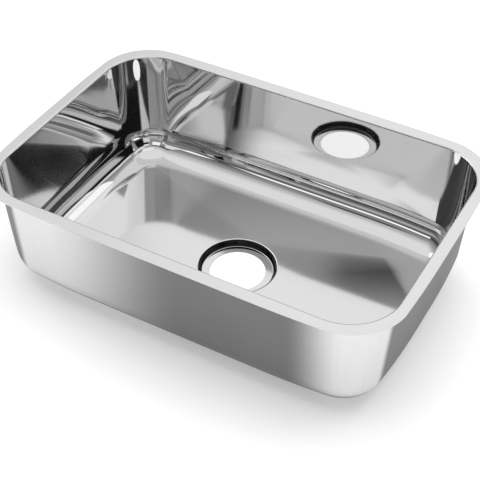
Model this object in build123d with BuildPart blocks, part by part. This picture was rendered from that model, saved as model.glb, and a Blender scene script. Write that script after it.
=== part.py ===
"""Undermount kitchen sink: one pressed stainless bowl with glued rubber sound pads underneath.

Sizes are in millimetres.  X runs along the long side, Y runs from the front to the back, Z is up.
The origin is under the middle of the drain, on the plane that the drain dish rests on.
"""
import os
from math import cos, radians, sin, tan

from build123d import *

os.makedirs("parts", exist_ok=True)

# Sheet and flange: the flange's corners ease in with wide arcs before they turn
sheet = 1.2
rim_length = 671.0
rim_width = 454.0
rim_corner_radius = 86.0
rim_ease_radius = 1900.0
rim_ease_angle = 3.0
flange_end_width = 18.5
flange_side_width = 21.0
opening_corner_radius = 77.0
rim_bend_radius = 3.0

# Bowl: walls that lean in a little, a wide cove, and a floor of four flat leaves that falls to
# the drain.  The leaves end in a square with nearly round corners, whose short flats are foot_flat.
floor_edge_depth = 186.0
floor_fall = 3.5
foot_flat = 1.0
wall_draft = 2.0
cove_radius = 50.0

# Drain: a round dish pressed into the floor, with the standard hole in its seat
drain_hole_radius = 44.5
dish_depth = 10.5
dish_wall_radius = 60.0
dish_lip_radius = 4.0
dish_seat_radius = 4.5

# Sound pads: rubber sheet glued under the floor, around the drain dish
pad_thickness = 3.0
pad_corner_radius = 12.0
pad_dish_clearance = 20.0
pad_side_clearance = 10.0
end_pad_length = 150.0
end_pad_width = 210.0
side_pad_length = 130.0
side_pad_width = 56.0

# Heights and lengths worked out from the sizes above
seat_depth = floor_edge_depth + floor_fall + dish_depth
rim_height = seat_depth + sheet
floor_edge_height = rim_height - floor_edge_depth
dish_top_height = floor_edge_height - floor_fall
foot_width = 2 * drain_hole_radius
opening_length = rim_length - 2 * flange_end_width
opening_width = rim_width - 2 * flange_side_width
end_pad_x = dish_wall_radius + dish_lip_radius + pad_dish_clearance + end_pad_length / 2
side_pad_y = dish_wall_radius + dish_lip_radius + pad_side_clearance + side_pad_width / 2


def eased_outline(length, width, corner_radius, ease_radius, ease_angle):
    """Draws a closed rectangle whose corners ease in with wide arcs, in the open sketch."""
    ease = radians(ease_angle)
    reach = ease_radius * (sin(ease) + 1 - cos(ease)) + corner_radius * (cos(ease) - sin(ease))
    with BuildLine() as path:
        side = Line((length / 2, 0), (length / 2, width / 2 - reach))
        first = JernArc(side @ 1, side % 1, ease_radius, ease_angle)
        corner = JernArc(first @ 1, first % 1, corner_radius, 90 - 2 * ease_angle)
        second = JernArc(corner @ 1, corner % 1, ease_radius, ease_angle)
        Line(second @ 1, (0, width / 2))
        mirror(about=Plane.XZ)
        mirror(about=Plane.YZ)
    make_face(path.edges())


def basin_form(grow):
    """Gives the hollow inside the walls and the floor as one solid, larger all round by grow."""
    depth = floor_edge_depth + grow
    cove = cove_radius + grow
    with BuildPart() as form:
        # Leaning walls and the cove at their foot
        with BuildSketch(Plane.XY.offset(rim_height)):
            RectangleRounded(
                opening_length + 2 * grow,
                opening_width + 2 * grow,
                opening_corner_radius + grow,
            )
        extrude(amount=-depth, taper=wall_draft)
        fillet(form.faces().sort_by(Axis.Z)[0].edges(), cove)
        # Floor leaves that fall from the foot of the cove to the lip of the dish
        inset = depth * tan(radians(wall_draft)) + cove * tan(radians(90 - wall_draft) / 2)
        with BuildSketch(Plane.XY.offset(floor_edge_height - grow)) as floor_edge:
            RectangleRounded(
                opening_length + 2 * (grow - inset),
                opening_width + 2 * (grow - inset),
                opening_corner_radius + grow - inset,
            )
        with BuildSketch(Plane.XY.offset(dish_top_height - grow)) as floor_foot:
            RectangleRounded(foot_width, foot_width, (foot_width - foot_flat) / 2)
        loft(sections=[floor_edge.sketch.face(), floor_foot.sketch.face()], ruled=True)
    return form.part


def bowl_form(grow):
    """Gives the whole hollow, with the drain dish, as one solid, larger all round by grow."""
    with BuildPart() as form:
        add(basin_form(grow))
        # Drain dish, rounded at its foot and at its lip
        with BuildPart(mode=Mode.PRIVATE) as dish:
            with BuildSketch(Plane.XY.offset(sheet - grow)):
                Circle(dish_wall_radius + grow)
            extrude(amount=dish_depth + floor_fall)
            fillet(dish.faces().sort_by(Axis.Z)[0].edges(), dish_seat_radius + grow)
        add(dish.part)
        dish_wall = form.faces().filter_by(GeomType.CYLINDER).sort_by(Axis.Z)[0]
        lip = dish_wall.edges().filter_by_position(Axis.Z, dish_top_height - grow, rim_height)
        fillet(lip, dish_lip_radius - grow)
    return form.part


def sound_pad(name, length, width, x, y):
    """Makes one rubber pad that follows the underside of the floor, and writes it."""
    with BuildPart() as pad:
        with BuildSketch():
            with Locations((x, y)):
                RectangleRounded(length, width, pad_corner_radius)
        extrude(amount=floor_edge_height)
        add(basin_form(sheet + pad_thickness), mode=Mode.INTERSECT)
        add(basin_form(sheet), mode=Mode.SUBTRACT)
    pad.part.label = name
    export_step(pad.part, f"parts/{name}.step")


with BuildPart() as bowl:
    # Flange plate, then the bowl's outer skin below it
    with BuildSketch(Plane.XY.offset(rim_height - sheet)):
        eased_outline(rim_length, rim_width, rim_corner_radius, rim_ease_radius, rim_ease_angle)
    extrude(amount=sheet)
    add(bowl_form(sheet))
    # Inside of the bend under the flange
    flange_underside = bowl.faces().filter_by(Plane.XY).filter_by_position(
        Axis.Z, seat_depth - sheet / 2, seat_depth + sheet / 2
    )[0]
    fillet(flange_underside.inner_wires()[0].edges(), rim_bend_radius - sheet)
    # Hollow of the bowl, the outside of the bend, and the drain hole
    add(bowl_form(0), mode=Mode.SUBTRACT)
    flange_top = bowl.faces().filter_by(Plane.XY).sort_by(Axis.Z)[-1]
    fillet(flange_top.inner_wires()[0].edges(), rim_bend_radius)
    Cylinder(drain_hole_radius, 2 * seat_depth, mode=Mode.SUBTRACT)

bowl.part.label = "bowl"
export_step(bowl.part, "parts/bowl.step")

sound_pad("pad_left", end_pad_length, end_pad_width, -end_pad_x, 0)
sound_pad("pad_right", end_pad_length, end_pad_width, end_pad_x, 0)
sound_pad("pad_front", side_pad_length, side_pad_width, 0, -side_pad_y)
sound_pad("pad_rear", side_pad_length, side_pad_width, 0, side_pad_y)
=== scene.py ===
from collections import namedtuple
from math import cos, degrees, pi, radians, sin, tan

import bpy
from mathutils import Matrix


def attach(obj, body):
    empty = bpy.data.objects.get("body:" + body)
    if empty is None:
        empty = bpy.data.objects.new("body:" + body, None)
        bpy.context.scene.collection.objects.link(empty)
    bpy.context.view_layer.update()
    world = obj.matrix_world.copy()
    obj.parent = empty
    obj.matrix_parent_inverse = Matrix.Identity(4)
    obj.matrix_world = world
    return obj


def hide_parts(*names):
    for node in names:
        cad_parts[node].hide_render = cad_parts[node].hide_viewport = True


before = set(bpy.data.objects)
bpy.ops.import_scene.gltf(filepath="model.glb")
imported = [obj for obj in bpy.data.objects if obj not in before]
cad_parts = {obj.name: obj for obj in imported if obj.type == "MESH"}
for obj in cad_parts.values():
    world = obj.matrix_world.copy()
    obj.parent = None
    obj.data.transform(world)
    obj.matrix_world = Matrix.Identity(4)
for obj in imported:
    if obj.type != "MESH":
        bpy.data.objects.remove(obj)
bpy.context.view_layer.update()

MM = 0.001

# ---------------------------------------------------------------- sizes, in millimetres
# Sheet and flange: the flange's corners ease in with wide arcs before they turn
sheet = 1.2
flange_half_length = 335.5
flange_half_width = 227.0
flange_end_width = 18.5
flange_side_width = 21.0
flange_corner = 86.0
flange_ease = 1900.0
flange_ease_angle = radians(3.0)
edge_round = 0.3

# Walls and cove: their corners ease in more the lower they lie, down to the foot
opening_corner = 77.0
bend_radius = 3.0
wall_draft = radians(2.0)
cove_radius = 50.0
foot_corner = 66.0
foot_ease = 1100.0
foot_ease_angle = radians(5.5)

# Floor and drain dish, as depths below the flange's top
floor_depth = 186.0
dish_top_depth = 189.05
seat_depth = 200.0
dish_radius = 60.0
lip_radius = 4.0
seat_fillet = 4.5
hole_radius = 44.5

# Rubber pads under the floor, round the dish
pad_thickness = 3.0
pad_corner = 12.0
pad_edge = 0.8
pad_dish_clearance = 20.0
pad_side_clearance = 10.0
end_pad_length, end_pad_width = 150.0, 210.0
side_pad_length, side_pad_width = 130.0, 56.0

# Worked out from the sizes above
rim_height = seat_depth + sheet
opening_half_length = flange_half_length - flange_end_width
opening_half_width = flange_half_width - flange_side_width
lip_outside = dish_radius + lip_radius
end_pad_x = lip_outside + pad_dish_clearance + end_pad_length / 2
side_pad_y = lip_outside + pad_side_clearance + side_pad_width / 2

# Number of faces along each stretch of the bowl's section
edge_faces = 3
bend_faces = 10
satin_bend_faces = 7
wall_faces = 18
cove_faces = 30
floor_faces = 8
lip_faces = 8
fillet_faces = 8


# ---------------------------------------------------------------- helpers
def new_object(name, data):
    """Makes an object at the origin and puts it in the scene."""
    made = bpy.data.objects.new(name, data)
    bpy.context.scene.collection.objects.link(made)
    return made


def new_group(name, kind, inputs, outputs):
    """Makes a node group with named sockets, and gives it with its input and output nodes."""
    group = bpy.data.node_groups.new(name, kind)
    for title, socket, default in inputs:
        made = group.interface.new_socket(title, in_out="INPUT", socket_type=socket)
        if default is not None:
            made.default_value = default
    for title, socket in outputs:
        group.interface.new_socket(title, in_out="OUTPUT", socket_type=socket)
    return group, group.nodes.new("NodeGroupInput"), group.nodes.new("NodeGroupOutput")


class Maths:
    """Adds math nodes to a tree, so that a rule reads like a formula."""

    def __init__(self, tree):
        self.tree = tree

    def put(self, socket, value):
        """Feeds a socket from another one, or sets its number."""
        if isinstance(value, bpy.types.NodeSocket):
            self.tree.links.new(value, socket)
        else:
            socket.default_value = value

    def do(self, operation, *values):
        """Adds one math node and gives its result."""
        node = self.tree.nodes.new("ShaderNodeMath")
        node.operation = operation
        for socket, value in zip(node.inputs, values):
            self.put(socket, value)
        return node.outputs[0]

    def add(self, a, b):
        return self.do("ADD", a, b)

    def sub(self, a, b):
        return self.do("SUBTRACT", a, b)

    def mul(self, a, b):
        return self.do("MULTIPLY", a, b)

    def div(self, a, b):
        return self.do("DIVIDE", a, b)

    def least(self, a, b):
        return self.do("MINIMUM", a, b)

    def most(self, a, b):
        return self.do("MAXIMUM", a, b)

    def sine(self, a):
        return self.do("SINE", a)

    def cosine(self, a):
        return self.do("COSINE", a)

    def mix(self, low, high, share):
        """Value between two, by the share that the second one has."""
        return self.add(self.mul(low, self.sub(1.0, share)), self.mul(high, share))


# ---------------------------------------------------------------- the rule that sweeps a section
# One closed ring of a shape: the sizes of its outline, whose corners ease in, and its height
Ring = namedtuple("Ring", "half_length half_width corner ease ease_angle height")


def value_at_ring(tree, section, title, ring):
    """One of the section's values, read at a ring's number."""
    named = tree.nodes.new("GeometryNodeInputNamedAttribute")
    named.data_type = "FLOAT"
    named.inputs["Name"].default_value = title
    sample = tree.nodes.new("GeometryNodeSampleIndex")
    sample.data_type = "FLOAT"
    sample.domain = "POINT"
    tree.links.new(section, sample.inputs["Geometry"])
    tree.links.new(named.outputs["Attribute"], sample.inputs["Value"])
    tree.links.new(ring, sample.inputs["Index"])
    return sample.outputs[0]


def eased_corner(m, at, angle):
    """Place on an eased corner: a wide arc, the corner's own arc, and a wide arc again."""
    far_angle = m.sub(pi / 2, at.ease_angle)
    first = m.least(angle, at.ease_angle)
    middle = m.least(m.most(angle, at.ease_angle), far_angle)
    last = m.most(angle, far_angle)
    sine, cosine = m.sine(at.ease_angle), m.cosine(at.ease_angle)
    reach = m.add(
        m.mul(at.ease, m.sub(m.add(sine, 1.0), cosine)),
        m.mul(at.corner, m.sub(cosine, sine)),
    )
    x = m.add(at.half_length, m.mul(at.ease, m.sub(m.cosine(first), 1.0)))
    x = m.add(x, m.mul(at.corner, m.sub(m.cosine(middle), cosine)))
    x = m.add(x, m.mul(at.ease, m.sub(m.cosine(last), sine)))
    y = m.add(m.sub(at.half_width, reach), m.mul(at.ease, m.sine(first)))
    y = m.add(y, m.mul(at.corner, m.sub(m.sine(middle), sine)))
    y = m.add(y, m.mul(at.ease, m.sub(m.sine(last), cosine)))
    return x, y


def paint_finishes(tree, m, sizes, shape, along):
    """Gives each face its finish, by how far along the section it lies."""
    for title, where in (
        ("Outside Material", None),
        ("Inside Material", m.do("LESS_THAN", along, sizes["Inside Faces"])),
        ("Rim Material", m.do("LESS_THAN", along, sizes["Rim Faces"])),
    ):
        paint = tree.nodes.new("GeometryNodeSetMaterial")
        tree.links.new(shape, paint.inputs["Geometry"])
        tree.links.new(sizes[title], paint.inputs["Material"])
        if where is not None:
            tree.links.new(where, paint.inputs["Selection"])
        shape = paint.outputs[0]
    return shape


def make_sweep_tree():
    """Sweeps a section round a rectangle whose corners ease in.

    The section is the object's own line of points.  Each point stands for one closed ring, and
    carries that ring's values.
    """
    tree, given, made = new_group(
        "rounded_sweep",
        "GeometryNodeTree",
        [
            ("Section", "NodeSocketGeometry", None),
            ("Rings", "NodeSocketInt", 2),
            ("Corner Steps", "NodeSocketInt", 48),
            ("Side Steps", "NodeSocketInt", 10),
            ("Merge Distance", "NodeSocketFloat", 0.000002),
            ("Rim Faces", "NodeSocketInt", 0),
            ("Inside Faces", "NodeSocketInt", 0),
            ("Rim Material", "NodeSocketMaterial", None),
            ("Inside Material", "NodeSocketMaterial", None),
            ("Outside Material", "NodeSocketMaterial", None),
        ],
        [("Mesh", "NodeSocketGeometry")],
    )
    m = Maths(tree)
    link = tree.links.new
    sizes = given.outputs
    rings, corner_steps, side_steps = sizes["Rings"], sizes["Corner Steps"], sizes["Side Steps"]
    quarter_steps = m.add(corner_steps, side_steps)

    grid = tree.nodes.new("GeometryNodeMeshGrid")
    link(m.add(m.mul(quarter_steps, 4.0), 1.0), grid.inputs["Vertices X"])
    link(rings, grid.inputs["Vertices Y"])

    # Station round the outline, and ring along the section.  A part of a step is added before a
    # number is cut to a whole one, to keep it clear of rounding.
    index = tree.nodes.new("GeometryNodeInputIndex").outputs[0]
    station = m.do("FLOOR", m.div(m.add(index, 0.5), rings))
    ring = m.sub(index, m.mul(station, rings))
    quarter = m.do("FLOOR", m.div(m.add(station, 0.5), quarter_steps))
    step = m.sub(station, m.mul(quarter, quarter_steps))
    quarter = m.do("FLOORED_MODULO", m.add(quarter, 0.25), 4.0)
    odd = m.do("GREATER_THAN", m.do("FLOORED_MODULO", quarter, 2.0), 1.0)
    on_corner = m.least(m.div(step, corner_steps), 1.0)
    on_side = m.div(m.most(m.sub(step, corner_steps), 0.0), side_steps)

    # Angle of the outline's normal, with small steps where the corner eases in
    turned = m.mix(on_corner, m.sub(1.0, on_corner), odd)
    angle = m.mul(m.sub(1.0, m.cosine(m.mul(turned, pi))), pi / 4)
    at = Ring(*(value_at_ring(tree, sizes["Section"], title, ring) for title in Ring._fields))
    x, y = eased_corner(m, at, angle)

    # The other three corners are mirror images, and the sides run between them
    left = m.mul(m.do("GREATER_THAN", quarter, 1.0), m.do("LESS_THAN", quarter, 3.0))
    front = m.do("GREATER_THAN", quarter, 2.0)
    across = m.sub(1.0, m.mul(on_side, 2.0))
    x = m.mul(m.mul(x, m.sub(1.0, m.mul(left, 2.0))), m.mix(across, 1.0, odd))
    y = m.mul(m.mul(y, m.sub(1.0, m.mul(front, 2.0))), m.mix(1.0, across, odd))

    place = tree.nodes.new("ShaderNodeCombineXYZ")
    for socket, value in zip(place.inputs, (x, y, at.height)):
        link(value, socket)
    moved = tree.nodes.new("GeometryNodeSetPosition")
    link(grid.outputs["Mesh"], moved.inputs["Geometry"])
    link(place.outputs[0], moved.inputs["Position"])

    # Each face keeps its place along the section, so that the finishes can be told apart
    faces_along = m.sub(rings, 1.0)
    face_row = m.do("FLOOR", m.div(m.add(index, 0.5), faces_along))
    kept = tree.nodes.new("GeometryNodeCaptureAttribute")
    kept.domain = "FACE"
    kept.capture_items.new("FLOAT", "Along")
    link(moved.outputs[0], kept.inputs["Geometry"])
    link(m.sub(index, m.mul(face_row, faces_along)), kept.inputs["Along"])

    merge = tree.nodes.new("GeometryNodeMergeByDistance")
    link(kept.outputs["Geometry"], merge.inputs["Geometry"])
    link(sizes["Merge Distance"], merge.inputs["Distance"])
    smooth = tree.nodes.new("GeometryNodeSetShadeSmooth")
    link(merge.outputs[0], smooth.inputs["Geometry"])
    real = tree.nodes.new("GeometryNodeRealizeInstances")
    link(smooth.outputs[0], real.inputs[0])
    along = m.add(kept.outputs["Along"], 0.5)
    link(paint_finishes(tree, m, sizes, real.outputs[0], along), made.inputs["Mesh"])
    return tree


def section_object(name, rings):
    """Makes the line of section points, with each ring's values on its point, in metres."""
    mesh = bpy.data.meshes.new(name)
    mesh.from_pydata(
        [(ring.half_length * MM, 0.0, ring.height * MM) for ring in rings],
        [(k, k + 1) for k in range(len(rings) - 1)],
        [],
    )
    for title in Ring._fields:
        unit = 1.0 if title == "ease_angle" else MM
        values = mesh.attributes.new(title, "FLOAT", "POINT")
        values.data.foreach_set("value", [getattr(ring, title) * unit for ring in rings])
    return new_object(name, mesh)


def set_inputs(modifier, tree, values):
    """Sets a modifier's inputs by the sockets' identifiers."""
    for item in tree.interface.items_tree:
        if item.item_type == "SOCKET" and item.in_out == "INPUT" and item.name in values:
            modifier[item.identifier] = values[item.name]


def make_plain(made):
    """Turns the evaluated object into a plain mesh and removes its modifiers."""
    bpy.context.view_layer.update()
    graph = bpy.context.evaluated_depsgraph_get()
    mesh = bpy.data.meshes.new_from_object(made.evaluated_get(graph), depsgraph=graph)
    made.modifiers.clear()
    made.data = mesh


def sweep(name, rings, tree, values):
    """Sweeps one section and gives the plain object."""
    made = section_object(name, rings)
    modifier = made.modifiers.new("sweep", "NODES")
    modifier.node_group = tree
    set_inputs(modifier, tree, dict(values, Rings=len(rings)))
    make_plain(made)
    return made


# ---------------------------------------------------------------- section of the bowl
def spread(count, start=0.0, end=1.0):
    """Values from start to end, with so many equal steps between them."""
    return [start + (end - start) * k / count for k in range(count + 1)]


def plain_ring(inset, depth):
    """Ring that lies inset from the opening's outline, with plain round corners."""
    corner = opening_corner - inset
    half_length, half_width = opening_half_length - inset, opening_half_width - inset
    return Ring(half_length, half_width, corner, corner, foot_ease_angle, rim_height - depth)


def eased_ring(inset, depth, foot_inset, share):
    """Ring of the wall or the cove, whose corners ease in more the lower it lies."""
    plain = opening_corner - inset
    drop = inset - foot_inset if share >= 1.0 else 0.0
    return Ring(
        opening_half_length - inset,
        opening_half_width - inset,
        plain + (foot_corner - drop - plain) * share,
        plain + (foot_ease - drop - plain) * share,
        foot_ease_angle,
        rim_height - depth,
    )


def round_ring(radius, depth):
    """Circle round the drain's axis."""
    return Ring(radius, radius, radius, radius, foot_ease_angle, rim_height - depth)


def flange_ring(inset, depth):
    """Ring that lies inset from the flange's outline."""
    return Ring(
        flange_half_length - inset,
        flange_half_width - inset,
        flange_corner - inset,
        flange_ease - inset,
        flange_ease_angle,
        rim_height - depth,
    )


def skin_rings(grow):
    """Rings of one skin from the flange down to the seat, grow outside the inner skin."""
    lean, up = cos(wall_draft), sin(wall_draft)
    bend_inset = bend_radius * ((1 - up) * tan(wall_draft) - lean)
    bend = bend_radius - grow
    foot_depth = floor_depth - cove_radius + cove_radius * up
    foot_inset = foot_depth * tan(wall_draft)
    cove_inset = foot_inset + cove_radius * lean
    cove = cove_radius + grow
    top_depth = bend_radius - bend * up
    rings = []
    for turn in spread(bend_faces, pi / 2, wall_draft):
        rings.append(plain_ring(bend_inset + bend * cos(turn), bend_radius - bend * sin(turn)))
    wall_foot = foot_depth + grow * up
    for share in spread(wall_faces)[1:]:
        depth = top_depth + (wall_foot - top_depth) * share
        inset = (depth - grow * up) * tan(wall_draft) - grow * lean
        rings.append(eased_ring(inset, depth, foot_inset - grow * lean, share))
    for turn in spread(cove_faces, wall_draft, pi / 2)[1:]:
        inset = cove_inset - cove * cos(turn)
        depth = floor_depth - cove_radius + cove * sin(turn)
        rings.append(eased_ring(inset, depth, foot_inset - grow * lean, 1.0))
    # Ruled floor down to the round lip of the dish
    edge = rings[-1]
    lip = round_ring(lip_outside, dish_top_depth + grow)
    for share in spread(floor_faces)[1:]:
        rings.append(Ring(*(a + (b - a) * share for a, b in zip(edge, lip))))
    lip_round = lip_radius - grow
    for turn in spread(lip_faces, 0, pi / 2)[1:]:
        radius = lip_outside - lip_round * sin(turn)
        rings.append(round_ring(radius, dish_top_depth + lip_radius - lip_round * cos(turn)))
    fillet = seat_fillet + grow
    for turn in spread(fillet_faces, 0, pi / 2):
        radius = dish_radius - seat_fillet + fillet * cos(turn)
        rings.append(round_ring(radius, seat_depth - seat_fillet + fillet * sin(turn)))
    return rings


def edge_rounds():
    """Steps round a rounded edge: how far in it lies, and how far from the sheet's face."""
    return [
        (edge_round * (1 - cos(turn)), edge_round * (1 - sin(turn)))
        for turn in spread(edge_faces, 0, pi / 2)
    ]


def bowl_rings():
    """Rings of the whole section, with the number of them on the inner skin."""
    inner, outer = skin_rings(0.0), skin_rings(sheet)
    rounds = edge_rounds()
    rings = [flange_ring(aside, below) for aside, below in rounds]
    rings += inner
    rings += [round_ring(hole_radius + aside, seat_depth + below) for aside, below in rounds[::-1]]
    hole_foot = seat_depth + sheet
    rings += [round_ring(hole_radius + aside, hole_foot - above) for aside, above in rounds]
    rings += outer[::-1]
    rings += [flange_ring(aside, sheet - above) for aside, above in rounds[::-1]]
    return rings + rings[:1], len(inner)


# ---------------------------------------------------------------- effects shared by the finishes
def shader_group(name, inputs, outputs):
    """Makes a shader node group, and gives it with its inputs, its outputs and its maths."""
    group, given, made = new_group(name, "ShaderNodeTree", inputs, outputs)
    return group, given.outputs, made.inputs, Maths(group)


def noise_in(tree, vector, detail, roughness, scale=1.0):
    """Cloudy noise from 0 to 1."""
    noise = tree.nodes.new("ShaderNodeTexNoise")
    noise.inputs["Scale"].default_value = scale
    noise.inputs["Detail"].default_value = detail
    noise.inputs["Roughness"].default_value = roughness
    tree.links.new(vector, noise.inputs["Vector"])
    return noise.outputs["Fac"]


def stretched(tree, vector, amounts):
    """A place with each of its directions stretched by its own amount."""
    node = tree.nodes.new("ShaderNodeVectorMath")
    node.operation = "MULTIPLY"
    node.inputs[1].default_value = amounts
    tree.links.new(vector, node.inputs[0])
    return node.outputs[0]


def scaled(tree, vector, factor):
    """A place or a colour times one value."""
    node = tree.nodes.new("ShaderNodeVectorMath")
    node.operation = "SCALE"
    tree.links.new(vector, node.inputs[0])
    tree.links.new(factor, node.inputs["Scale"])
    return node.outputs[0]


def ramp_in(tree, value, low, high, to_low=0.0, to_high=1.0):
    """Smooth step of a value between low and high."""
    node = tree.nodes.new("ShaderNodeMapRange")
    node.interpolation_type = "SMOOTHSTEP"
    m = Maths(tree)
    for title, number in (
        ("Value", value),
        ("From Min", low),
        ("From Max", high),
        ("To Min", to_low),
        ("To Max", to_high),
    ):
        m.put(node.inputs[title], number)
    return node.outputs[0]


def make_grain_group():
    """Fine level lines in the sheet, and the cloudy haze of polishing."""
    wide_lines, fine_lines = (9, 9, 420), (24, 24, 1500)
    wide_share = 0.6
    haze_low, haze_high = 0.3, 0.7
    group, given, made, m = shader_group(
        "sheet_grain",
        [
            ("Vector", "NodeSocketVector", None),
            ("Haze Scale", "NodeSocketFloat", 9.0),
            ("Base Roughness", "NodeSocketFloat", 0.3),
            ("Line Roughness", "NodeSocketFloat", 0.05),
            ("Haze Roughness", "NodeSocketFloat", 0.05),
            ("Colour", "NodeSocketColor", (0.74, 0.74, 0.75, 1.0)),
            ("Colour Change", "NodeSocketFloat", 0.03),
        ],
        [
            ("Colour", "NodeSocketColor"),
            ("Roughness", "NodeSocketFloat"),
            ("Height", "NodeSocketFloat"),
        ],
    )
    place = given["Vector"]
    wide = noise_in(group, stretched(group, place, wide_lines), detail=3.0, roughness=0.6)
    fine = noise_in(group, stretched(group, place, fine_lines), detail=2.0, roughness=0.5)
    lines = m.add(m.mul(wide, wide_share), m.mul(fine, 1.0 - wide_share))
    clouds = noise_in(group, scaled(group, place, given["Haze Scale"]), detail=4.0, roughness=0.55)
    haze = ramp_in(group, clouds, haze_low, haze_high)
    rough = m.add(given["Base Roughness"], m.mul(m.sub(lines, 0.5), given["Line Roughness"]))
    rough = m.add(rough, m.mul(m.sub(haze, 0.5), given["Haze Roughness"]))
    group.links.new(rough, made["Roughness"])
    group.links.new(lines, made["Height"])
    uneven = m.sub(m.add(m.mul(lines, 0.5), m.mul(haze, 0.5)), 0.5)
    shade = m.add(1.0, m.mul(uneven, given["Colour Change"]))
    group.links.new(scaled(group, given["Colour"], shade), made["Colour"])
    return group


def make_painted_outside_light_group():
    """Painted light on the outside: bright fields of painted reflection, and a dark foot of painted
    shade.
    """
    streak_stretch = (170, 170, 4)
    streak_middle = 0.55
    group, given, made, m = shader_group(
        "outside_painted_light",
        [
            ("Vector", "NodeSocketVector", None),
            ("Left Edge", "NodeSocketFloat", -0.27),
            ("Left Edge Softness", "NodeSocketFloat", 0.016),
            ("Left Field Start", "NodeSocketFloat", -0.22),
            ("Left Field End", "NodeSocketFloat", 0.03),
            ("Right Field Start", "NodeSocketFloat", 0.187),
            ("Right Field End", "NodeSocketFloat", 0.27),
            ("Side Wall Start", "NodeSocketFloat", 0.138),
            ("Side Wall End", "NodeSocketFloat", 0.153),
            ("Foot Start", "NodeSocketFloat", 0.034),
            ("Foot End", "NodeSocketFloat", 0.05),
            ("Underside Start", "NodeSocketFloat", 0.012),
            ("Underside End", "NodeSocketFloat", 0.024),
            ("Streaks", "NodeSocketFloat", 0.12),
        ],
        [("Bright", "NodeSocketFloat"), ("Foot", "NodeSocketFloat")],
    )
    apart = group.nodes.new("ShaderNodeSeparateXYZ")
    group.links.new(given["Vector"], apart.inputs[0])
    x, y, z = apart.outputs
    left_end = m.add(given["Left Edge"], given["Left Edge Softness"])
    left = ramp_in(group, x, given["Left Field Start"], given["Left Field End"], 1.0, 0.0)
    left = m.mul(left, ramp_in(group, x, given["Left Edge"], left_end))
    right = ramp_in(group, x, given["Right Field Start"], given["Right Field End"])
    # The painted reflection stays off the end walls: only the front and the rear wall lie so far
    # out
    aside = m.do("ABSOLUTE", y)
    side_wall = ramp_in(group, aside, given["Side Wall Start"], given["Side Wall End"])
    drawn = stretched(group, given["Vector"], streak_stretch)
    streaks = noise_in(group, drawn, detail=3.0, roughness=0.6)
    uneven = m.add(1.0, m.mul(m.sub(streaks, streak_middle), given["Streaks"]))
    # Painted reflection: bright fields on the front and rear walls, streaked up and down
    group.links.new(m.mul(m.mul(m.most(left, right), side_wall), uneven), made["Bright"])
    # Painted shade: a dark band round the foot of the walls, which fades out again on the underside
    foot = ramp_in(group, z, given["Foot Start"], given["Foot End"], 1.0, 0.0)
    above = ramp_in(group, z, given["Underside Start"], given["Underside End"])
    group.links.new(m.mul(foot, above), made["Foot"])
    return group


def make_floor_wear_and_step_shade_group():
    """Wear inside the bowl, a duller floor with hairlines; and the mask of the drain step, where a
    dark reflection is painted.
    """
    hair_angles = (0.4, 1.3, 2.6)
    hair_stretch = (1100, 11, 11)
    hair_low, hair_high = 0.66, 0.74
    group, given, made, m = shader_group(
        "bowl_wear_and_painted_step",
        [
            ("Vector", "NodeSocketVector", None),
            ("Floor Height", "NodeSocketFloat", 0.012),
            ("Cove Height", "NodeSocketFloat", 0.022),
            ("Hairlines", "NodeSocketFloat", 0.35),
            ("Step Inside", "NodeSocketFloat", 0.0568),
            ("Step Outside", "NodeSocketFloat", 0.0622),
            ("Step Softness", "NodeSocketFloat", 0.0004),
            ("Step Top", "NodeSocketFloat", 0.03),
        ],
        [("Dullness", "NodeSocketFloat"), ("Step", "NodeSocketFloat")],
    )
    apart = group.nodes.new("ShaderNodeSeparateXYZ")
    group.links.new(given["Vector"], apart.inputs[0])
    z = apart.outputs[2]
    on_floor = m.sub(1.0, ramp_in(group, z, given["Floor Height"], given["Cove Height"]))
    hairs = 0.0
    for angle in hair_angles:
        turn = group.nodes.new("ShaderNodeVectorRotate")
        turn.rotation_type = "Z_AXIS"
        turn.inputs["Angle"].default_value = angle
        group.links.new(given["Vector"], turn.inputs["Vector"])
        along = stretched(group, turn.outputs[0], hair_stretch)
        hair = noise_in(group, along, detail=1.0, roughness=0.5)
        hairs = m.add(ramp_in(group, hair, hair_low, hair_high), hairs)
    worn = m.add(1.0, m.mul(hairs, given["Hairlines"]))
    group.links.new(m.mul(on_floor, worn), made["Dullness"])

    from_axis = group.nodes.new("ShaderNodeVectorMath")
    from_axis.operation = "LENGTH"
    flat = stretched(group, given["Vector"], (1.0, 1.0, 0.0))
    group.links.new(flat, from_axis.inputs[0])
    # The drain step's band, which the finish paints near black as a painted reflection
    past = []
    for edge in (given["Step Inside"], given["Step Outside"]):
        low = m.sub(edge, given["Step Softness"])
        high = m.add(edge, given["Step Softness"])
        past.append(ramp_in(group, from_axis.outputs["Value"], low, high))
    below_top = m.do("LESS_THAN", z, given["Step Top"])
    group.links.new(m.mul(m.mul(past[0], m.sub(1.0, past[1])), below_top), made["Step"])
    return group


grain_group = make_grain_group()
painted_outside_light_group = make_painted_outside_light_group()
floor_wear_and_step_shade_group = make_floor_wear_and_step_shade_group()


# ---------------------------------------------------------------- finishes
def new_material(name):
    """Makes a material, and gives it with its nodes and its shader."""
    made = bpy.data.materials.new(name)
    made.use_nodes = True
    return made, made.node_tree, made.node_tree.nodes["Principled BSDF"]


def own_place(tree):
    """The piece's own coordinates."""
    return tree.nodes.new("ShaderNodeTexCoord").outputs["Object"]


def shared_effect(tree, group):
    """Adds a shared effect, fed with the piece's own coordinates."""
    effect = tree.nodes.new("ShaderNodeGroup")
    effect.node_tree = group
    tree.links.new(own_place(tree), effect.inputs["Vector"])
    return effect


def add_relief(tree, shader, height, strength, distance):
    """Lets a height show in the surface."""
    relief = tree.nodes.new("ShaderNodeBump")
    relief.inputs["Strength"].default_value = strength
    relief.inputs["Distance"].default_value = distance
    tree.links.new(height, relief.inputs["Height"])
    tree.links.new(relief.outputs["Normal"], shader.inputs["Normal"])


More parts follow.
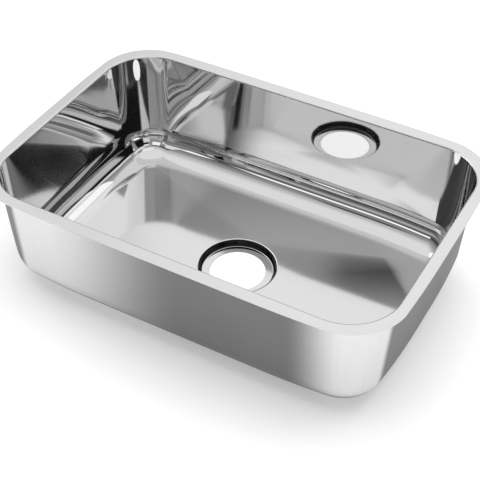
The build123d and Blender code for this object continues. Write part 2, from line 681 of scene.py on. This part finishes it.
def mixed_colour(tree, share, low, high):
    """Colour between two, each of which is a socket or a fixed colour."""
    node = tree.nodes.new("ShaderNodeMix")
    node.data_type = "RGBA"
    tree.links.new(share, node.inputs["Factor"])
    for title, colour in (("A", low), ("B", high)):
        if isinstance(colour, bpy.types.NodeSocket):
            tree.links.new(colour, node.inputs[title])
        else:
            node.inputs[title].default_value = (*colour, 1.0)
    return node.outputs["Result"]


def start_steel(name, lines, haze, relief):
    """Starts a steel whose roughness and relief follow the sheet's lines and its haze.

    Gives the material and its grain, whose colour and base roughness are left to the finish.
    """
    made, tree, shader = new_material(name)
    shader.inputs["Metallic"].default_value = 1.0
    grain = shared_effect(tree, grain_group)
    grain.inputs["Line Roughness"].default_value = lines
    grain.inputs["Haze Roughness"].default_value = haze
    tree.links.new(grain.outputs["Colour"], shader.inputs["Base Color"])
    tree.links.new(grain.outputs["Roughness"], shader.inputs["Roughness"])
    add_relief(tree, shader, grain.outputs["Height"], strength=1.0, distance=relief)
    return made, grain


def polished_inside_finish():
    """Mirror walls, a duller floor, and a painted dark reflection on the step round the drain."""
    steel, step = (0.742, 0.742, 0.746), (0.02, 0.02, 0.02)
    wall_roughness, floor_roughness = 0.03, 0.085
    made, grain = start_steel("polished_inside", lines=0.006, haze=0.012, relief=0.0000003)
    tree = made.node_tree
    m = Maths(tree)
    floor_wear_and_step_shade = shared_effect(tree, floor_wear_and_step_shade_group)
    tree.links.new(mixed_colour(tree, floor_wear_and_step_shade.outputs["Step"], steel, step), grain.inputs["Colour"])
    change = m.mul(floor_wear_and_step_shade.outputs["Dullness"], floor_roughness - wall_roughness)
    tree.links.new(m.add(wall_roughness, change), grain.inputs["Base Roughness"])
    return made


def satin_rim_finish():
    """The flange and most of the bend at the opening, evenly dulled."""
    made, grain = start_steel("satin_rim", lines=0.05, haze=0.03, relief=0.000004)
    grain.inputs["Colour"].default_value = (0.805, 0.805, 0.808, 1.0)
    grain.inputs["Base Roughness"].default_value = 0.36
    return made


def brushed_outside_finish():
    """Steel brushed up and down, with a dull middle that is partly painted shade, bright fields of
    painted reflection and a dark foot of painted shade.
    """
    # dull is partly the tone of unpolished steel and partly painted shade standing in for dark
    # reflections
    dull, bright, foot = (0.22, 0.22, 0.223), (0.78, 0.78, 0.783), (0.13, 0.13, 0.132)
    rough, smooth = 0.5, 0.42
    made, grain = start_steel("brushed_outside", lines=0.06, haze=0.04, relief=0.000004)
    tree = made.node_tree
    m = Maths(tree)
    shader = tree.nodes["Principled BSDF"]
    shader.inputs["Anisotropic"].default_value = 0.85
    round_z = tree.nodes.new("ShaderNodeTangent")
    round_z.direction_type = "RADIAL"
    round_z.axis = "Z"
    tree.links.new(round_z.outputs[0], shader.inputs["Tangent"])
    painted_light = shared_effect(tree, painted_outside_light_group)
    # The painted reflection's fields make the colour bright and smoother; the painted shade darkens
    # the foot
    fields = mixed_colour(tree, painted_light.outputs["Bright"], dull, bright)
    colour = mixed_colour(tree, painted_light.outputs["Foot"], fields, foot)
    tree.links.new(colour, grain.inputs["Colour"])
    highlight_roughness = m.add(rough, m.mul(painted_light.outputs["Bright"], smooth - rough))
    tree.links.new(highlight_roughness, grain.inputs["Base Roughness"])
    return made


def pad_rubber_finish():
    """Dark rubber sheet with a fine pebbled skin and a little dust."""
    rubber, dusty = (0.085, 0.085, 0.095), (0.13, 0.128, 0.125)
    dust_scale, dust_low, dust_high, dust_share = 26.0, 0.45, 0.75, 0.6
    clean_roughness, dust_roughness = 0.62, 0.12
    made, tree, shader = new_material("pad_rubber")
    m = Maths(tree)
    place = own_place(tree)
    clouds = noise_in(tree, place, detail=5.0, roughness=0.6, scale=dust_scale)
    dust = ramp_in(tree, clouds, dust_low, dust_high)
    colour = mixed_colour(tree, m.mul(dust, dust_share), rubber, dusty)
    tree.links.new(colour, shader.inputs["Base Color"])
    rough = m.add(m.mul(dust, dust_roughness), clean_roughness)
    tree.links.new(rough, shader.inputs["Roughness"])
    pebbles = tree.nodes.new("ShaderNodeTexVoronoi")
    pebbles.inputs["Scale"].default_value = 650.0
    tree.links.new(place, pebbles.inputs["Vector"])
    add_relief(tree, shader, pebbles.outputs["Distance"], strength=0.7, distance=0.00015)
    return made


# ---------------------------------------------------------------- the bowl
sweep_tree = make_sweep_tree()
rings, inner_count = bowl_rings()
bowl = sweep(
    "sink_bowl",
    rings,
    sweep_tree,
    {
        "Corner Steps": 56,
        "Side Steps": 10,
        # The rounded edge, the flange's top and most of the bend
        "Rim Faces": edge_faces + 1 + satin_bend_faces,
        # On over the inner skin, to the last face of the hole's rounded edge
        "Inside Faces": inner_count + 2 * edge_faces,
        "Rim Material": satin_rim_finish(),
        "Inside Material": polished_inside_finish(),
        "Outside Material": brushed_outside_finish(),
    },
)
weighted = bowl.modifiers.new("weighted", "WEIGHTED_NORMAL")
weighted.weight = 100
make_plain(bowl)
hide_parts("bowl")
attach(bowl, "root")


# ---------------------------------------------------------------- the sound pads
def make_seat_tree():
    """Lays a flat pad against the underside of the bowl's floor, at its own place."""
    tree, given, made = new_group(
        "seat_under_floor",
        "GeometryNodeTree",
        [
            ("Pad", "NodeSocketGeometry", None),
            ("Bowl", "NodeSocketObject", None),
            ("Place", "NodeSocketVector", (0.0, 0.0, 0.0)),
            ("Look From", "NodeSocketFloat", -0.05),
            ("Look Length", "NodeSocketFloat", 1.0),
            ("Glue", "NodeSocketFloat", 0.00002),
            ("Material", "NodeSocketMaterial", None),
        ],
        [("Mesh", "NodeSocketGeometry")],
    )
    m = Maths(tree)
    link = tree.links.new
    sizes = given.outputs
    placed = tree.nodes.new("GeometryNodeSetPosition")
    link(sizes["Pad"], placed.inputs["Geometry"])
    link(sizes["Place"], placed.inputs["Offset"])
    bowl_shape = tree.nodes.new("GeometryNodeObjectInfo")
    link(sizes["Bowl"], bowl_shape.inputs["Object"])

    # Looks straight up from below each point, and lifts the point to what it finds
    here = tree.nodes.new("ShaderNodeSeparateXYZ")
    link(tree.nodes.new("GeometryNodeInputPosition").outputs[0], here.inputs[0])
    below = tree.nodes.new("ShaderNodeCombineXYZ")
    for socket, value in zip(below.inputs, (here.outputs[0], here.outputs[1], sizes["Look From"])):
        link(value, socket)
    ray = tree.nodes.new("GeometryNodeRaycast")
    link(bowl_shape.outputs["Geometry"], ray.inputs["Target Geometry"])
    link(below.outputs[0], ray.inputs["Source Position"])
    ray.inputs["Ray Direction"].default_value = (0.0, 0.0, 1.0)
    link(sizes["Look Length"], ray.inputs["Ray Length"])
    found = tree.nodes.new("ShaderNodeSeparateXYZ")
    link(ray.outputs["Hit Position"], found.inputs[0])
    lift = tree.nodes.new("ShaderNodeCombineXYZ")
    link(m.sub(found.outputs[2], sizes["Glue"]), lift.inputs[2])
    seated = tree.nodes.new("GeometryNodeSetPosition")
    link(placed.outputs[0], seated.inputs["Geometry"])
    link(lift.outputs[0], seated.inputs["Offset"])

    real = tree.nodes.new("GeometryNodeRealizeInstances")
    link(seated.outputs[0], real.inputs[0])
    paint = tree.nodes.new("GeometryNodeSetMaterial")
    link(real.outputs[0], paint.inputs["Geometry"])
    link(sizes["Material"], paint.inputs["Material"])
    link(paint.outputs[0], made.inputs["Mesh"])
    return tree


def pad_rings(length, width):
    """Rings of a flat pad: its underside from the middle out, its rounded edge, and its top."""
    face_rings = 14
    round_faces = 4

    def ring(share, inset, height):
        half_length, half_width = (length / 2 - inset) * share, (width / 2 - inset) * share
        corner = (pad_corner - inset) * share
        return Ring(half_length, half_width, corner, corner, foot_ease_angle, height)

    found = [ring(share, pad_edge, -pad_thickness) for share in spread(face_rings)[:-1]]
    for turn in spread(round_faces, pi / 2, 0):
        drop = pad_edge - pad_thickness - pad_edge * sin(turn)
        found.append(ring(1.0, pad_edge * (1 - cos(turn)), drop))
    return found + [ring(share, 0.0, 0.0) for share in spread(face_rings, 1.0, 0.0)]


pads = {
    "pad_left": (-end_pad_x, 0.0, end_pad_length, end_pad_width),
    "pad_right": (end_pad_x, 0.0, end_pad_length, end_pad_width),
    "pad_front": (0.0, -side_pad_y, side_pad_length, side_pad_width),
    "pad_rear": (0.0, side_pad_y, side_pad_length, side_pad_width),
}
seat_tree = make_seat_tree()
pad_rubber = pad_rubber_finish()
for name, (x, y, length, width) in pads.items():
    pad = sweep(
        "rubber_" + name,
        pad_rings(length, width),
        sweep_tree,
        {"Corner Steps": 12, "Side Steps": 16, "Outside Material": pad_rubber},
    )
    seat = pad.modifiers.new("seat", "NODES")
    seat.node_group = seat_tree
    place = (x * MM, y * MM, 0.0)
    set_inputs(seat, seat_tree, {"Bowl": bowl, "Place": place, "Material": pad_rubber})
    make_plain(pad)
    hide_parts(name)
    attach(pad, "root")


# ---------------------------------------------------------------- studio light
# Light of the surroundings, with the heights above the horizon in degrees between which it changes:
# from the ground's to the sides', and from the sides' to the dome's
ground_level, sides_level, dome_level = 0.08, 0.34, 0.93
sides_from, sides_to = 8.5, 20.5
dome_from, dome_to = 41.0, 65.0

# Soft panels and dark screens round the sink: azimuth from the rear towards the right, height above
# the horizon, half width, half height and softness in degrees, then the level.  Most of the panels,
# and the dome above, were fitted by a separate program to how bright the steel is in the photo.
# They were then rounded and partly changed, and the other panels were added.
studio_panels = [
    ("rear_window", -13, 43, 25, 21.5, 6, 1.0),
    ("left_screen", -130, 29.5, 33, 5.5, 8, 0.02),
    ("front_strip", -160, 31.8, 6.5, 2.4, 1.2, 1.35),
    ("right_screen", 115, 25, 21.5, 16, 2, 0.01),
    ("right_window", 36, 50, 22, 10, 4, 1.25),
    ("front_gap", 178, 45.2, 28.4, 2.5, 1.3, 0.06),
    ("front_window", 164, 38, 14, 6, 2, 1.2),
    ("right_strip", 86, 47, 32, 1.7, 2.4, 1.3),
    ("right_dim", 88, 54.5, 12, 2.5, 2.5, 0.2),
    ("wall_strip", 128, 41.3, 10, 2.3, 1.5, 1.2),
    ("corner_card", 132, 22, 10, 9, 2.5, 0.8),
    ("rear_strip", 30, 30.4, 28, 1.2, 0.9, 1.1),
    ("rear_band", 29, 35.5, 52, 3.4, 1.2, 1.05),
    ("front_card", -147, 50.6, 13, 2.4, 1.8, 0.62),
    ("right_gap", 45, 29.6, 9.5, 2.4, 1.5, 0.02),
    ("rear_card", 20, 33, 15, 3.2, 5, 0.28),
    ("top_strip", 128, 58.4, 29, 3.4, 2.3, 1.1),
    ("rear_panel", -24, 37.5, 11, 2.5, 2, 1.25),
    ("low_card", 35, 17.5, 22, 6, 3, 0.7),
    ("left_window", -72, 42, 24, 17, 5, 1.5),
    ("front_far_strip", -172, 31, 3, 2, 1, 1.2),
    ("low_right_light", 120, 4, 50, 6, 3, 2.0),
    ("low_left_light", -116, 5, 25, 7, 3.5, 4.0),
]
panel_sizes = ("Centre Azimuth", "Centre Height", "Half Width", "Half Height", "Softness")


def make_panel_group():
    """One soft panel of the studio: how much of it lies in a direction."""
    group, given, made, m = shader_group(
        "studio_panel",
        [
            ("Azimuth", "NodeSocketFloat", 0.0),
            ("Height", "NodeSocketFloat", 0.0),
            ("Centre Azimuth", "NodeSocketFloat", 0.0),
            ("Centre Height", "NodeSocketFloat", 0.0),
            ("Half Width", "NodeSocketFloat", 10.0),
            ("Half Height", "NodeSocketFloat", 10.0),
            ("Softness", "NodeSocketFloat", 3.0),
        ],
        [("Share", "NodeSocketFloat")],
    )
    off = m.sub(given["Azimuth"], given["Centre Azimuth"])
    off = m.sub(m.do("FLOORED_MODULO", m.add(off, 180.0), 360.0), 180.0)
    rise = m.sub(given["Height"], given["Centre Height"])
    across = m.sub(given["Half Width"], m.do("ABSOLUTE", off))
    up = m.sub(given["Half Height"], m.do("ABSOLUTE", rise))
    soft = given["Softness"]
    low = m.mul(soft, -1.0)
    share = m.mul(ramp_in(group, across, low, soft), ramp_in(group, up, low, soft))
    group.links.new(share, made["Share"])
    return group


def make_studio():
    """Puts the dome of light and its panels round the sink.  A later panel covers earlier ones."""
    world = bpy.data.worlds.new("studio")
    bpy.context.scene.world = world
    world.use_nodes = True
    sky = world.node_tree
    m = Maths(sky)
    direction = sky.nodes.new("ShaderNodeSeparateXYZ")
    generated = sky.nodes.new("ShaderNodeTexCoord").outputs["Generated"]
    sky.links.new(generated, direction.inputs[0])
    x, y, z = direction.outputs
    azimuth = m.mul(m.do("ARCTAN2", x, y), degrees(1.0))
    height = m.mul(m.do("ARCSINE", z), degrees(1.0))
    panel_group = make_panel_group()
    level = ramp_in(sky, height, sides_from, sides_to, ground_level, sides_level)
    level = m.mix(level, dome_level, ramp_in(sky, height, dome_from, dome_to))
    for name, *spot, strength in studio_panels:
        panel = sky.nodes.new("ShaderNodeGroup")
        panel.name = name
        panel.node_tree = panel_group
        sky.links.new(azimuth, panel.inputs["Azimuth"])
        sky.links.new(height, panel.inputs["Height"])
        for title, value in zip(panel_sizes, spot):
            panel.inputs[title].default_value = value
        level = m.mix(level, strength, panel.outputs["Share"])
    sky.links.new(level, sky.nodes["Background"].inputs["Color"])


def make_lamp():
    """Large lamp overhead, which the steel doesn't mirror."""
    data = bpy.data.lights.new("overhead_lamp", "AREA")
    data.shape = "SQUARE"
    data.size = 2.4
    data.energy = 34.0
    lamp = new_object("overhead_lamp", data)
    lamp.location = (0.2, 0.1, 2.6)
    lamp.visible_glossy = False


make_studio()
make_lamp()


# ---------------------------------------------------------------- floor
def white_paper_finish():
    """Matt paper that shows white, and is clear from below."""
    paper, glow = (0.84, 0.84, 0.84, 1.0), 0.3
    made, tree, shader = new_material("white_paper")
    tree.nodes.remove(shader)
    m = Maths(tree)
    matt = tree.nodes.new("ShaderNodeBsdfDiffuse")
    matt.inputs["Color"].default_value = paper
    white = tree.nodes.new("ShaderNodeEmission")
    seen = tree.nodes.new("ShaderNodeLightPath").outputs
    shown = m.most(seen["Is Camera Ray"], seen["Is Glossy Ray"])
    shown = m.most(shown, seen["Is Transmission Ray"])
    tree.links.new(m.mul(shown, glow), white.inputs["Strength"])
    top = tree.nodes.new("ShaderNodeAddShader")
    tree.links.new(matt.outputs[0], top.inputs[0])
    tree.links.new(white.outputs[0], top.inputs[1])
    clear = tree.nodes.new("ShaderNodeBsdfTransparent")
    one_sided = tree.nodes.new("ShaderNodeMixShader")
    underneath = tree.nodes.new("ShaderNodeNewGeometry").outputs["Backfacing"]
    for socket, value in zip(one_sided.inputs, (underneath, top.outputs[0], clear.outputs[0])):
        tree.links.new(value, socket)
    tree.links.new(one_sided.outputs[0], tree.nodes["Material Output"].inputs["Surface"])
    return made


# The paper reaches far past the picture's edges, in metres
reach = 40.0
corners = [(-reach, -reach, 0), (reach, -reach, 0), (reach, reach, 0), (-reach, reach, 0)]
floor_mesh = bpy.data.meshes.new("floor")
floor_mesh.from_pydata(corners, [], [(0, 1, 2, 3)])
floor_mesh.materials.append(white_paper_finish())
floor = new_object("floor", floor_mesh)


# ---------------------------------------------------------------- camera
def make_camera():
    """Looks down into the bowl from the front right."""
    down, turn = radians(42.09), radians(29.35)
    data = bpy.data.cameras.new("camera")
    data.lens = 85.86
    data.sensor_width = 36.0
    data.clip_start = 0.05
    camera = new_object("camera", data)
    camera.location = (0.64727, -1.14293, 1.25286)
    camera.rotation_euler = (pi / 2 - down, 0, turn)
    bpy.context.scene.camera = camera


make_camera()
bpy.context.scene.view_settings.view_transform = "Standard"
